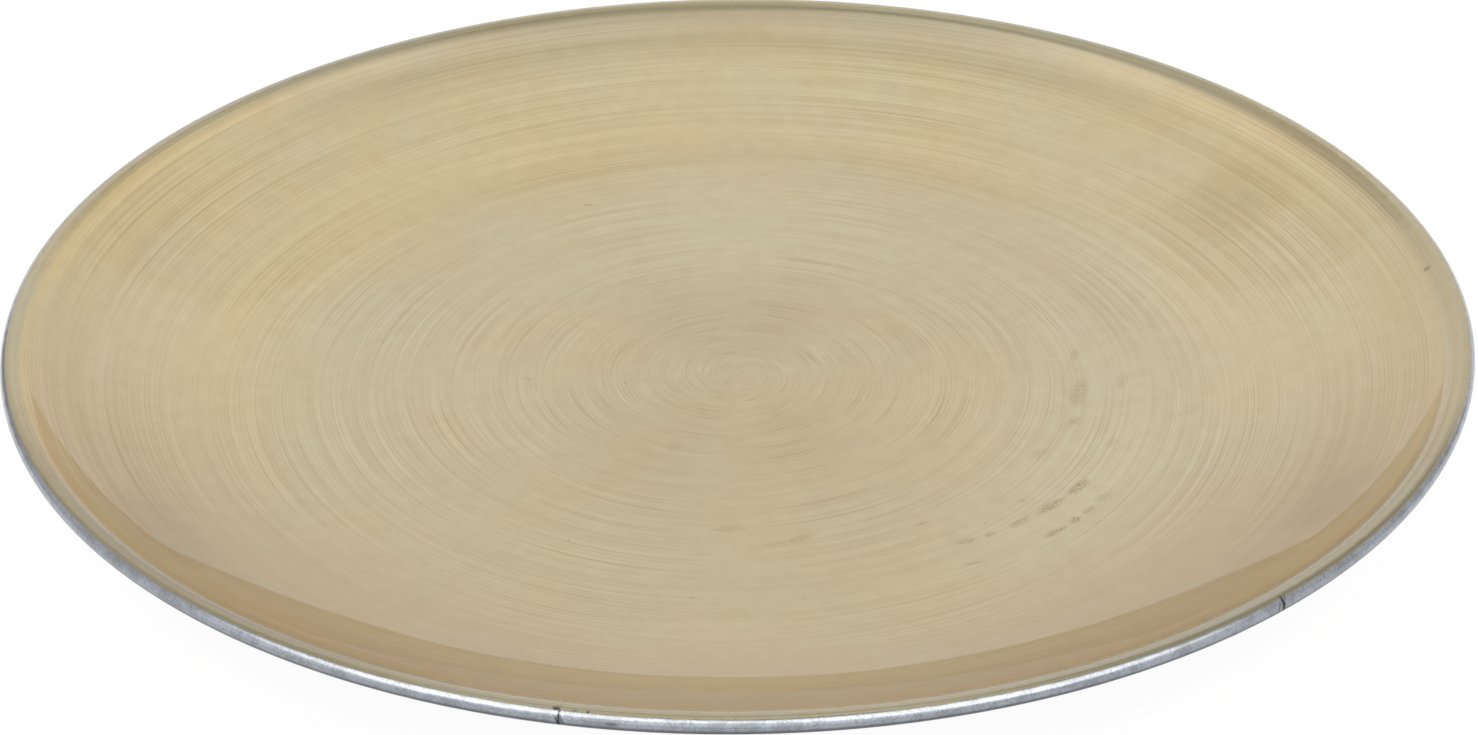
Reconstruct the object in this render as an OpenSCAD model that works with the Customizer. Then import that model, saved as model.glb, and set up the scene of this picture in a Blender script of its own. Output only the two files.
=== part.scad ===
// Round charger plate: a shallow dish with a flat floor, a sloping wall and a thick rounded edge.
// A dark moulded body carries a brushed, lacquered face and strips of silver leaf round its edge.
// Z is up, and the origin is the centre of the surface that the plate stands on.

/* [Plate] */
// Diameter over the leafed edge
plate_d = 330; // [312:1:356]
// Height of the edge's top above the floor of the dish
edge_rise = 21.8; // [16:0.1:26]
// Diameter of the flat floor, where a dinner plate stands
floor_d = 201; // [180:1:215]
// Slope of the wall where it ends and the steeper border begins, in degrees
wall_lean = 26; // [22:0.5:30]
// Radius of the border's hollow curve
border_r = 40; // [30:1:48]
// Slope of the border where it meets the crest, in degrees
border_lean = 44; // [40:1:48]
// Radius of the crest between the border and the edge's top
crest_r = 6.5; // [5:0.1:7]

/* [Body] */
// Thickness of the moulded floor
floor_t = 2.2; // [1.6:0.1:3]
// Thickness of the moulded wall where the border begins
border_t = 2.1; // [1.6:0.1:3]
// Thickness of the rounded edge, without its leaf
edge_t = 3.3; // [2.8:0.1:4.2]

/* [Foot] */
// How far the foot ring's outer side lies inside the edge of the flat floor
foot_inset = 2.5; // [1:0.5:20]
// Width of the foot ring where it touches the table
foot_w = 3.4; // [2.4:0.1:6]
// Height of the foot ring below the moulded floor
foot_h = 2; // [1:0.1:4]
// Chamfer along both lower edges of the foot ring
foot_chamfer = 0.6; // [0.2:0.1:1]
// Lean of the foot ring's sides, which lets it leave the mould
foot_draft = 0.4; // [0.2:0.1:0.8]
// Diameter of the shallow dimple in the middle, left by the mould's inlet
gate_d = 9; // [6:0.5:14]
// Depth of that dimple
gate_depth = 0.5; // [0.2:0.1:1]

/* [Finish] */
// Thickness of the brushed and lacquered coat on the face
lacquer_t = 0.2; // [0.1:0.05:0.3]
// Thickness of the silver leaf with its size and its varnish
leaf_t = 0.2; // [0.1:0.05:0.3]
// Width of the open joints, where two strips of leaf fall short of each other
open_joint = 0.8; // [0.3:0.1:1.5]
// Width of the other joints, where the strips all but meet
close_joint = 0.3; // [0.1:0.1:0.8]

/* [Hidden] */
$fn = 180;

// Directions of the joints in the leaf, counter-clockwise from +X seen from above
joint_angles = [1.5, 52.5, 104, 155, 207, 258.1, 310.2];
joint_widths = [close_joint, close_joint, close_joint, close_joint, close_joint, open_joint, open_joint];
// How far the leaf wraps round the edge from its top, in degrees
leaf_wrap = 148;
// Straight runs that stand for the curves of the wall, the border, the crest and the edge's round
wall_steps = 22;
border_steps = 7;
crest_steps = 9;
round_steps = 24;

// Levels and radii that follow from the sizes above
floor_z = foot_h + floor_t + lacquer_t;
floor_r = floor_d / 2;
round_r = edge_t / 2;
edge_r = plate_d / 2 - leaf_t - round_r;
edge_top = floor_z + edge_rise;
foot_r = floor_r - foot_inset;

// Direction square to a slope of so many degrees, pointing up from it
function square_to(slope) = [-sin(slope), cos(slope)];

// Centres of the round and of the crest, which meet at the edge's top
round_centre = [edge_r, edge_top - leaf_t - round_r];
crest_centre = [edge_r, edge_top - crest_r];

// From the crest the section goes down the border's hollow curve to where the wall ends
border_top = crest_centre + crest_r * square_to(border_lean);
border_centre = border_top + border_r * square_to(border_lean);
wall_end = border_centre - border_r * square_to(wall_lean);
wall_run = wall_end.x - floor_r;
wall_rise = wall_end.y - floor_z;
// The wall's height grows with this power of the share that has been crossed, to end at its slope
wall_power = tan(wall_lean) * wall_run / wall_rise;

// How far out on the wall radius r lies, from 0 at the floor to 1 where the wall ends
function wall_share(r) = (r - floor_r) / wall_run;
// Height of the face over the floor, and its slope in degrees, at radius r
function face_rise(r) = wall_rise * pow(wall_share(r), wall_power);
function face_slope(r) = r <= floor_r ? 0 : atan(wall_power * face_rise(r) / (r - floor_r));
// Point that lies a depth of d under the face at radius r, square to the face
function under_face(r, d) = [r, floor_z + face_rise(r)] - d * square_to(face_slope(r));
function under_border(slope, d) = border_centre - (border_r + d) * square_to(slope);

// Slope of a line that touches the edge's round from below and the foot of the border's underside
border_depth = lacquer_t + border_t;
border_foot = under_border(wall_lean, border_depth);
foot_reach = round_centre - border_foot;
rest_slope = atan2(foot_reach.y, foot_reach.x) - asin(round_r / norm(foot_reach));
floor_depth = lacquer_t + floor_t;
function body_depth(r) = floor_depth + (border_depth - floor_depth) * wall_share(r);

wall_radii = [for (i = [0:wall_steps]) floor_r + wall_run * i / wall_steps];
border_turn = (border_lean - wall_lean) / border_steps;
border_slopes = [for (i = [1:border_steps - 1]) wall_lean + border_turn * i];

// Line from the middle of the floor over the wall, a depth of d under the finished face
function face_line(d) = concat(
    [[0, floor_z - d]],
    [for (r = wall_radii) under_face(r, d)],
    [for (slope = border_slopes) under_border(slope, d)]);
function reversed(points) = [for (i = [len(points) - 1:-1:0]) points[i]];

// Line over the crest and the edge's round to the leaf's end underneath, h above the moulding
crest_slopes = [for (i = [crest_steps:-1:1]) border_lean * i / crest_steps];
round_turns = [for (i = [0:round_steps]) leaf_wrap * i / round_steps];
function edge_line(h) = concat(
    [for (slope = crest_slopes) crest_centre + (crest_r - leaf_t + h) * square_to(slope)],
    [for (turn = round_turns) round_centre + (round_r + h) * square_to(-turn)]);

// Underside from the edge's round inwards, with the foot ring and the dimple
underside = concat(
    [round_centre - round_r * square_to(rest_slope)],
    reversed([for (r = wall_radii) under_face(r, body_depth(r))]),
    [[foot_r + foot_draft, foot_h],
     [foot_r, foot_chamfer],
     [foot_r - foot_chamfer, 0],
     [foot_r - foot_chamfer - foot_w, 0],
     [foot_r - 2 * foot_chamfer - foot_w, foot_chamfer],
     [foot_r - 2 * foot_chamfer - foot_w - foot_draft, foot_h],
     [gate_d / 2, foot_h],
     [gate_d / 2 - gate_depth, foot_h + gate_depth],
     [0, foot_h + gate_depth]]);

module plate_body() {
    color("darkslategray")
        rotate_extrude()
            polygon(concat(face_line(lacquer_t), edge_line(0), underside));
}

// The coat runs up the border to the leaf, and there it is as thick as the leaf
module face_lacquer() {
    color("burlywood")
        rotate_extrude()
            polygon(concat(face_line(0), [edge_line(leaf_t)[0], edge_line(0)[0]],
                           reversed(face_line(lacquer_t))));
}

// Angle that half the width of a joint takes up at the plate's edge
function half_joint(index) = asin(joint_widths[index] / plate_d);

// Strip of leaf from one joint to the next, past +X for the last strip
module edge_leaf(number) {
    start = number - 1;
    end = number % len(joint_angles);
    full_turn = end < start ? 360 : 0;
    from = joint_angles[start] + half_joint(start);
    to = joint_angles[end] + full_turn - half_joint(end);
    color("silver")
        rotate(from)
            rotate_extrude(angle = to - from)
                polygon(concat(edge_line(leaf_t), reversed(edge_line(0))));
}

plate_body();
face_lacquer();
for (number = [1:len(joint_angles)])
    edge_leaf(number);
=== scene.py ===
"""A round charger plate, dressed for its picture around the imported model.

The plate has a brushed champagne face under clear lacquer, seven strips of silver leaf wrapped over its
thick edge, and a dark moulded body with a foot ring. Every piece is turned or laid along one section of
the plate, which the class Section works out from the sizes.
"""

import math
from functools import reduce

import bpy
import numpy as np
from bpy.props import FloatProperty, FloatVectorProperty, PointerProperty
from mathutils import Matrix, Vector


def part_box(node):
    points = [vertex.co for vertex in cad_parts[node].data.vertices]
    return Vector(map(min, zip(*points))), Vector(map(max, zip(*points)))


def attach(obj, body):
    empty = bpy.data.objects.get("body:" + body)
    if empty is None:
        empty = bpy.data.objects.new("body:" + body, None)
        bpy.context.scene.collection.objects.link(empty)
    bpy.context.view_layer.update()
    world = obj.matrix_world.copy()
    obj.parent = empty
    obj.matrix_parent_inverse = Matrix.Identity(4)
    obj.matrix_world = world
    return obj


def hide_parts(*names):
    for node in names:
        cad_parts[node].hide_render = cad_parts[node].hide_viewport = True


bl_info = {
    "name": "Charger Plate",
    "version": (1, 0, 0),
    "blender": (4, 5, 0),
    "location": "3D View > Sidebar > Charger Plate",
    "description": "Builds a brushed charger plate with a leafed edge, and the studio round it",
    "category": "Add Mesh",
}

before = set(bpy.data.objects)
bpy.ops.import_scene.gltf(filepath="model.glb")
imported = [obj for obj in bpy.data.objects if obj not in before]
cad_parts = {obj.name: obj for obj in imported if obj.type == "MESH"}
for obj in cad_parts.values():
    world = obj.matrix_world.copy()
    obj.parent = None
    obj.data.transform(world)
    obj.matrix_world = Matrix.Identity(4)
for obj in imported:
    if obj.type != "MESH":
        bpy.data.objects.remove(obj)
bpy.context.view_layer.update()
LEAF_NODES = sorted(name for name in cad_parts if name.startswith("edge_leaf_"))
MM = 0.001


def frame_size(value):
    """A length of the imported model, rounded to a tenth of a millimetre: its round faces are many-sided."""
    return round(value, 4)


LEAF_TOP = frame_size(max(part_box(name)[1].z for name in LEAF_NODES))
LEAF_RADIUS = frame_size(max(max(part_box(name)[1].xy) for name in LEAF_NODES))
LACQUER_LOW = frame_size(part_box("face_lacquer")[0].z)


def length(name, description, default, low=0.0):
    """A length in metres for a property group."""
    return FloatProperty(
        name=name, description=description, default=default, min=low, unit="LENGTH", precision=5
    )


def in_degrees(name, description, degrees):
    """An angle, given in degrees, for a property group."""
    return FloatProperty(name=name, description=description, default=math.radians(degrees), subtype="ANGLE")


def pixels(name, description, default):
    """A distance in pixels of the photograph."""
    return FloatProperty(name=name, description=description, default=default)


def share(name, description, default):
    """A plain number from zero to one."""
    return FloatProperty(name=name, description=description, default=default, min=0.0, max=1.0)


def tint(name, description, default):
    """A colour in linear red, green and blue."""
    return FloatVectorProperty(
        name=name, description=description, default=default, subtype="COLOR", size=3, min=0.0, max=1.0
    )


class PlateSizes(bpy.types.PropertyGroup):
    """Sizes of the plate's section."""

    radius: length("Radius", "Radius over the leafed edge", LEAF_RADIUS)
    lacquer_t: length("Lacquer", "Thickness of the finish on the face", 0.2 * MM)
    floor_z: length("Floor height", "Height of the finished floor", LACQUER_LOW + 0.2 * MM)
    edge_top: length("Edge top", "Height of the edge's top", LEAF_TOP)
    floor_r: length("Floor radius", "Radius of the flat floor", 100.5 * MM)
    wall_lean: in_degrees("Wall lean", "Slope of the wall where it ends", 26)
    border_r: length("Border curve", "Radius of the border's hollow curve", 40.0 * MM)
    border_lean: in_degrees("Border lean", "Slope of the border where it meets the crest", 44)
    crest_r: length("Crest", "Radius of the crest between the border and the edge's top", 6.5 * MM)
    floor_t: length("Floor thickness", "Thickness of the moulded floor", 2.2 * MM)
    border_t: length("Border thickness", "Thickness of the moulded wall where the border begins", 2.1 * MM)
    edge_t: length("Edge thickness", "Thickness of the rounded edge without its leaf", 3.3 * MM)
    leaf_t: length("Leaf", "Thickness of the leaf", 0.2 * MM)
    foot_r: length("Foot radius", "Outer radius of the foot ring", 98.0 * MM)
    foot_w: length("Foot width", "Width of the foot ring where it touches", 3.4 * MM)
    foot_chamfer: length("Foot rounding", "Rounding of the foot ring's lower edges", 0.6 * MM)
    foot_draft: length("Foot draft", "Lean of the foot ring's sides", 0.4 * MM)
    gate_r: length("Inlet radius", "Radius of the dimple left by the mould's inlet", 4.5 * MM)
    gate_depth: length("Inlet depth", "Depth of that dimple", 0.5 * MM)
    ripple: length("Ripple", "Height of the face's faint ripple", 0.018 * MM)


class FaceFinish(bpy.types.PropertyGroup):
    """Colours and strokes of the brushed face."""

    warm: tint("Warm", "Colour where the coat is thick", (0.431, 0.350, 0.205))
    cool: tint("Cool", "Colour where the coat is thin", (0.422, 0.357, 0.221))
    # Factors that make the floor's colour darker, and its middle darker still
    worn: tint("Worn", "Factor on the floor's colour, which is rubbed more", (0.93, 0.94, 0.94))
    rubbed: tint("Rubbed", "Factor on the middle's colour, which is rubbed most", (0.96, 0.96, 0.95))
    scuff: tint("Scuff", "Colour of scuffs that reach the dark body", (0.2, 0.13, 0.045))
    streak: share("Streaks", "Strength of the fine brush strokes", 0.13)
    thread: share("Threads", "Darkness of the few sharp strokes", 0.16)
    metallic: share("Metallic", "How metallic the coat looks", 0.25)
    crest_metallic: share("Crest metallic", "The same on the crest, where the coat runs thin", 0.45)
    roughness: share("Roughness", "Roughness of the coat under its lacquer", 0.42)
    crest_roughness: share("Crest roughness", "The same on the crest", 0.2)
    crest_tint: tint("Crest tint", "Factor on the colour of the crest", (0.80, 0.87, 0.98))
    crest_start: length("Crest start", "Radius at which the coat starts to change to the crest's", 158 * MM)
    anisotropic: share("Grain", "How far the strokes stretch a reflection", 0.6)
    lacquer: share("Lacquer", "Weight of the clear lacquer's reflection", 0.5)
    lacquer_roughness: share("Lacquer roughness", "Roughness of the clear lacquer", 0.035)
    climb: length("Climb", "How far a stroke moves out over one radian", 1.245 * MM)
    centre_x: length("Centre X", "Middle of the strokes", -0.9 * MM, low=-1.0)
    centre_y: length("Centre Y", "Middle of the strokes", 0.3 * MM, low=-1.0)


class LeafFinish(bpy.types.PropertyGroup):
    """Colours of the leafed edge."""

    silver: tint("Silver", "Colour of the clean leaf", (0.335, 0.363, 0.412))
    shade: tint("Shade", "Colour of the leaf where it is thin", (0.25, 0.267, 0.293))
    # The under colour also serves as the dark of the painted shade on the round's lower side
    under: tint("Under", "Colour of the dark size in joints and scratches", (0.04, 0.043, 0.05))
    roughness: share("Roughness", "Roughness of the leaf", 0.17)
    lacquer_end: in_degrees("Lacquer end", "Turn from the edge's top at which the tinted lacquer ends", 26)
    # Painted shade: from the first turn to the second the leaf's lower side is darkened, standing for the
    # mirrored shadow under the rim
    shade_from: in_degrees("Thin from", "Turn from the edge's top at which the leaf starts to thin out", 89)
    shade_to: in_degrees("Thin to", "Turn at which it is thinnest", 112)
    crease: length("Crease", "Height of the leaf's creases", 0.02 * MM)


class BodyFinish(bpy.types.PropertyGroup):
    """Colour of the moulded body."""

    plastic: tint("Plastic", "Colour of the moulding", (0.042, 0.045, 0.049))
    pale: tint("Pale", "Colour towards which it goes in clouds", (0.07, 0.073, 0.077))
    roughness: share("Roughness", "Roughness of the moulding", 0.46)


class StudioSettings(bpy.types.PropertyGroup):
    """Camera, lights and paper."""

    distance: length("Distance", "From the camera to the middle of the plate's floor", 783 * MM)
    elevation: in_degrees("Elevation", "Height of the camera as an angle", 30.26)
    roll: in_degrees("Roll", "Roll of the camera", -0.5)
    focal_px: pixels("Focal length", "Focal length of the camera", 3396.0)
    aim_x_px: pixels("Aim X", "Column of the floor's middle", 737.6)
    aim_y_px: pixels("Aim Y", "Row of the floor's middle", 375.4)
    photo_w_px: pixels("Picture width", "Width of the photograph", 1478.0)
    photo_h_px: pixels("Picture height", "Height of the photograph", 735.0)
    paper: tint("Paper", "Colour of the paper as it lights the plate", (0.48, 0.48, 0.48))
    paper_seen: tint("Paper seen", "Share of the light that it shows to the camera", (0.06, 0.06, 0.06))
    floor_glow: share("Floor glow", "Brightness that the floor shows to the camera", 0.95)
    floor_mirrored: share("Floor mirrored", "Brightness that the plate mirrors of the floor", 0.32)
    backdrop_glow: share("Backdrop glow", "Brightness that the backdrop shows to the camera", 0.95)
    backdrop_mirrored: share("Backdrop mirrored", "Brightness that the plate mirrors of the backdrop", 0.36)
    backdrop_y: length("Backdrop distance", "How far behind the plate the backdrop stands", 1.4)
    backdrop_left: length("Backdrop left", "How far it reaches to the left", 1.0)
    backdrop_right: length("Backdrop right", "How far it reaches to the right", 1.7)
    backdrop_top: length("Backdrop top", "Height of the backdrop", 1.03)
    room: share("Room", "Radiance of the room between its lights", 0.40)
    light: tint("Light", "Colour of the room's light", (1.0, 0.985, 0.96))


class ChargerPlate(bpy.types.PropertyGroup):
    """All settings of the plate and its picture."""

    sizes: PointerProperty(type=PlateSizes)
    face: PointerProperty(type=FaceFinish)
    leaf: PointerProperty(type=LeafFinish)
    body: PointerProperty(type=BodyFinish)
    studio: PointerProperty(type=StudioSettings)


def square_to(slope):
    """Direction (r, z) square to a slope, pointing up from it."""
    return np.stack([-np.sin(slope), np.cos(slope)], -1)


class Section:
    """The plate's section: radii and heights in metres, worked out from the sizes.

    The face is flat out to the floor's radius. From there its height is the wall's rise times the share of
    the wall that has been crossed, raised to a power that makes the wall end at its lean. The border curves
    up from there to its own lean, and a crest joins it to the edge's top, whose outer side is a circle.
    """

    def __init__(self, sizes):
        self.sizes = sizes
        self.round_r = sizes.edge_t / 2
        self.leaf_r = self.round_r + sizes.leaf_t
        self.edge_r = sizes.radius - self.leaf_r
        self.round_centre = np.array([self.edge_r, sizes.edge_top - sizes.leaf_t - self.round_r])
        self.crest_centre = np.array([self.edge_r, sizes.edge_top - sizes.crest_r])
        border_top = self.crest_centre + sizes.crest_r * square_to(sizes.border_lean)
        self.border_centre = border_top + sizes.border_r * square_to(sizes.border_lean)
        self.wall_end = self.under_border(0.0, sizes.wall_lean)
        self.wall_run = self.wall_end[0] - sizes.floor_r
        self.wall_rise = self.wall_end[1] - sizes.floor_z
        self.power = math.tan(sizes.wall_lean) * self.wall_run / self.wall_rise
        self.border_depth = sizes.lacquer_t + sizes.border_t
        reach = self.round_centre - self.under_border(self.border_depth, sizes.wall_lean)
        self.rest_slope = math.atan2(reach[1], reach[0]) - math.asin(self.round_r / np.hypot(*reach))

    def crossed(self, r):
        """Share of the wall inside radius r, from 0 at the floor to 1 where the wall ends."""
        return np.clip((r - self.sizes.floor_r) / self.wall_run, 0, 1)

    def rise(self, r):
        """Height of the face over the floor at radius r."""
        return self.wall_rise * self.crossed(r) ** self.power

    def slope(self, r):
        """Slope of the face at radius r: the angle whose tangent is the derivative of rise."""
        return np.arctan(math.tan(self.sizes.wall_lean) * self.crossed(r) ** (self.power - 1))

    def under_face(self, r, depth):
        """Points (r, z) a depth under the face, measured square to it."""
        face = np.stack([r, self.sizes.floor_z + self.rise(r)], -1)
        return face - np.multiply.outer(depth, [1.0, 1.0]) * square_to(self.slope(r))

    def under_border(self, depth, slopes):
        """Points a depth under the border, where it has these slopes."""
        return self.border_centre - (self.sizes.border_r + depth) * square_to(slopes)

    def face_line(self, depth, floor_steps, wall_steps, border_steps):
        """The face from the centre to the top of the border, a depth under the finished surface."""
        flat = self.sizes.floor_r * np.linspace(0, 1, floor_steps, endpoint=False) ** FLOOR_SPREAD
        wall = np.linspace(self.sizes.floor_r, self.wall_end[0], wall_steps)
        slopes = np.linspace(self.sizes.wall_lean, self.sizes.border_lean, border_steps + 1)[1:]
        lines = [self.under_face(flat, depth), self.under_face(wall, depth)]
        return np.concatenate([*lines, self.under_border(depth, slopes)])

    def edge_line(self, turns, height):
        """Points over the edge, a height above the moulding: turns count from its top outwards."""
        on_crest = (turns < 0)[..., None]
        far = np.where(on_crest, self.sizes.crest_r - self.sizes.leaf_t, self.round_r)
        centre = np.where(on_crest, self.crest_centre, self.round_centre)
        return centre + (far + np.asarray(height)[..., None]) * square_to(-turns)

    def wall_depth(self, r):
        """Depth of the body's underside under the face, from the floor to the border."""
        start = self.sizes.lacquer_t + self.sizes.floor_t
        return start + (self.border_depth - start) * self.crossed(r)


# Steps of the turned surfaces. The floor's rings lie at this power of the share of its radius, and there
# are fewer of them where the coat and the body hide them.
AROUND = 360
FLOOR_SPREAD = 0.85
FLOOR_STEPS, WALL_STEPS, BORDER_STEPS = 48, 64, 20
COAT_FLOOR_STEPS, BODY_FLOOR_STEPS = 6, 12
UNDER_STEPS, CORNER_STEPS, EDGE_STEPS = 36, 6, 56
# Corners that turn by more than this stay sharp
SHARP_ANGLE = math.radians(50)

# Waves of the face's ripple: how many round the plate, how many per metre across it, and a phase. They
# fade over the last stretch before the wall ends.
RIPPLE_WAVES = ((3, 14, 0.4), (5, 22, 2.1), (8, 9, 4.0), (13, 31, 1.3), (21, 17, 5.2))
RIPPLE_FADE = 12 * MM


def turned(line):
    """Turns a line of (r, z) points about Z: x = r cos a, y = r sin a for each direction a."""
    angle = np.linspace(0, 2 * math.pi, AROUND, endpoint=False)
    r, z = line[:, 0, None], line[:, 1, None]
    return np.stack([r * np.cos(angle), r * np.sin(angle), z + 0 * angle], -1)


def grid_faces(rows, columns, closed=False):
    """Quads of a grid of vertices in row order; they face rows' direction crossed with columns'.

    In a closed grid the last column is joined to the first.
    """
    i = np.arange(rows - 1)[:, None]
    j = np.arange(columns if closed else columns - 1)[None, :]
    a, b = i * columns, (i + 1) * columns
    c, d = j, (j + 1) % columns
    return np.stack([a + c, b + c, b + d, a + d], -1).reshape(-1, 4)


def fan_faces(pole, ring, outward):
    """Triangles from a pole to a ring of vertices, turned the other way where outward is false."""
    following = np.roll(ring, -1)
    pair = (ring, following) if outward else (following, ring)
    return np.stack([np.full(len(ring), pole), *pair], -1)


def make_piece(name, points, quads, triangles, nodes, material):
    """Puts computed points and faces into a smooth mesh that stands for CAD nodes."""
    mesh = bpy.data.meshes.new(name)
    loops = np.concatenate([quads.ravel(), triangles.ravel()]).astype(np.int32)
    sizes = np.concatenate([np.full(len(quads), 4), np.full(len(triangles), 3)])
    starts = np.concatenate([[0], np.cumsum(sizes)[:-1]]).astype(np.int32)
    mesh.vertices.add(len(points))
    mesh.vertices.foreach_set("co", points.astype(np.float32).ravel())
    mesh.loops.add(len(loops))
    mesh.loops.foreach_set("vertex_index", loops)
    mesh.polygons.add(len(sizes))
    mesh.polygons.foreach_set("loop_start", starts)
    mesh.polygons.foreach_set("use_smooth", np.ones(len(sizes), bool))
    mesh.update(calc_edges=True)
    mesh.validate()
    mesh.set_sharp_from_angle(angle=SHARP_ANGLE)
    mesh.materials.append(material)
    piece = bpy.data.objects.new(name, mesh)
    bpy.context.scene.collection.objects.link(piece)
    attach(piece, "root")
    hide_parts(*nodes)
    return piece


def turned_piece(name, line, nodes, material, lift=None):
    """A closed piece turned from a line that starts and ends on the axis.

    lift is a function of radius, direction and height that gives a height to add to each turned point.
    """
    rows = turned(line[1:-1])
    if lift:
        x, y, z = np.moveaxis(rows, -1, 0)
        rows[..., 2] += lift(np.hypot(x, y), np.arctan2(y, x), z)
    count = rows.shape[0] * rows.shape[1]
    poles = np.array([[0, 0, line[0, 1]], [0, 0, line[-1, 1]]])
    points = np.concatenate([rows.reshape(-1, 3), poles])
    quads = grid_faces(*rows.shape[:2], closed=True)
    first = fan_faces(count, np.arange(AROUND), True)
    last = fan_faces(count + 1, np.arange(count - AROUND, count), False)
    return make_piece(name, points, quads, np.concatenate([first, last]), nodes, material)


# Sockets of a Mix node: its two colours and the mixed one, and its two numbers
MIX_A, MIX_B, MIX_RESULT = 6, 7, 2
NUMBER_A, NUMBER_B = 2, 3


class Nodes:
    """Short ways to add nodes to an emptied tree."""

    def __init__(self, tree):
        self.tree = tree
        self.tree.nodes.clear()

    def put(self, socket, value):
        """Links a socket to another, or sets its value; a colour of three numbers gets an alpha of 1."""
        if isinstance(value, bpy.types.NodeSocket):
            self.tree.links.new(value, socket)
        elif socket.type == "RGBA":
            socket.default_value = (*value[:3], 1.0)
        else:
            socket.default_value = value

    def node(self, kind, values=None, **settings):
        """A node of this kind, with settings made first and then its inputs."""
        made = self.tree.nodes.new(kind)
        for key, value in settings.items():
            setattr(made, key, value)
        for key, value in (values or {}).items():
            self.put(made.inputs[key], value)
        return made

    def math(self, operation, a, b=0.0):
        """One step of arithmetic."""
        return self.node("ShaderNodeMath", {0: a, 1: b}, operation=operation).outputs[0]

    def plus(self, a, b):
        """The sum of two numbers."""
        return self.math("ADD", a, b)

    def times(self, a, b):
        """The product of two numbers."""
        return self.math("MULTIPLY", a, b)

    def weighted(self, *terms):
        """The sum of numbers, each times its weight."""
        return reduce(self.plus, (self.times(value, weight) for value, weight in terms))

    def ease(self, value, low, high, start=0.0, end=1.0):
        """A smooth step from start, at low, to end, at high."""
        values = {"Value": value, "From Min": low, "From Max": high, "To Min": start, "To Max": end}
        return self.node("ShaderNodeMapRange", values, interpolation_type="SMOOTHSTEP").outputs[0]

    def between(self, part, start, end):
        """A number that goes smoothly from start to end as a part goes from zero to one."""
        return self.ease(part, 0.0, 1.0, start, end)

    def stretched(self, noise, spread, start=0.0, end=1.0):
        """Noise about 0.5 stretched from start to end, which it reaches a spread below and above 0.5."""
        return self.ease(noise, 0.5 - spread, 0.5 + spread, start, end)

    def mix(self, factor, a, b):
        """Two colours mixed."""
        made = self.node("ShaderNodeMix", data_type="RGBA", clamp_factor=True)
        self.put(made.inputs["Factor"], factor)
        self.put(made.inputs[MIX_A], a)
        self.put(made.inputs[MIX_B], b)
        return made.outputs[MIX_RESULT]

    def vector(self, x, y, z):
        """Three numbers as one vector or colour."""
        return self.node("ShaderNodeCombineXYZ", {"X": x, "Y": y, "Z": z}).outputs[0]

    def tinted(self, colour, factor):
        """A colour times another, channel by channel."""
        return self.node("ShaderNodeVectorMath", {0: colour, 1: factor}, operation="MULTIPLY").outputs[0]

    def noise(self, place, scale, detail, roughness):
        """Smooth noise about 0.5, with this many waves per unit of the place."""
        values = {"Vector": place, "Scale": scale, "Detail": detail, "Roughness": roughness}
        return self.node("ShaderNodeTexNoise", values).outputs["Fac"]


class Finish(Nodes):
    """A new material."""

    def __init__(self, name):
        self.material = bpy.data.materials.new(name)
        self.material.use_nodes = True
        super().__init__(self.material.node_tree)

    def place(self):
        """Object coordinates, which are metres in the plate's own frame."""
        return self.node("ShaderNodeTexCoord").outputs["Object"]

    def bump(self, height, depth, strength=0.25):
        """Normals of a surface that a height from zero to one moves by up to a depth, in metres."""
        values = {"Height": height, "Strength": strength, "Distance": depth}
        return self.node("ShaderNodeBump", values).outputs[0]

    def close(self, shader):
        """Ends the tree with a shader and returns the material."""
        self.node("ShaderNodeOutputMaterial", {"Surface": shader})
        return self.material

    def surface(self, values):
        """Ends the tree with a principled shader that has these values."""
        return self.close(self.node("ShaderNodeBsdfPrincipled", values).outputs[0])


# Places of the scuffs on the face: direction in degrees, radius, half length along the stroke and half
# width across it in millimetres, turn from the stroke in degrees, and strength
SCUFFS = (
    (326.2, 89.1, 4.6, 1.6, -3.0, 1.0),
    (319.7, 88.4, 5.2, 1.5, -5.0, 0.9),
    (313.4, 87.4, 3.8, 1.2, 0.0, 0.75),
    (308.2, 86.6, 2.4, 0.8, 2.0, 0.7),
    (304.2, 85.7, 3.2, 1.0, -11.0, 0.7),
    (315.2, 95.5, 4.2, 1.0, -4.0, 0.9),
    (319.0, 95.7, 2.2, 1.2, 2.0, 1.0),
    (322.0, 95.7, 2.4, 1.1, -4.0, 0.8),
    (325.7, 95.6, 2.9, 1.6, -16.0, 0.45),
    (332.0, 75.5, 3.2, 1.9, -24.0, 0.4),
    (344.0, 78.8, 2.7, 1.4, -13.0, 0.65),
    (353.5, 78.4, 7.5, 2.4, -7.0, 0.55),
    (5.9, 78.8, 3.0, 1.0, -19.0, 0.55),
    (357.1, 88.1, 4.5, 1.8, -10.0, 0.35),
    (339.3, 88.7, 3.3, 1.5, -11.0, 0.35),
    (268.0, 65.2, 5.0, 1.2, 6.0, 0.45),
    (277.0, 71.6, 7.0, 1.4, 8.0, 0.5),
    (281.0, 70.0, 4.0, 1.0, 10.0, 0.5),
    (246.0, 35.0, 2.5, 3.0, 0.0, 0.3),
)
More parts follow.
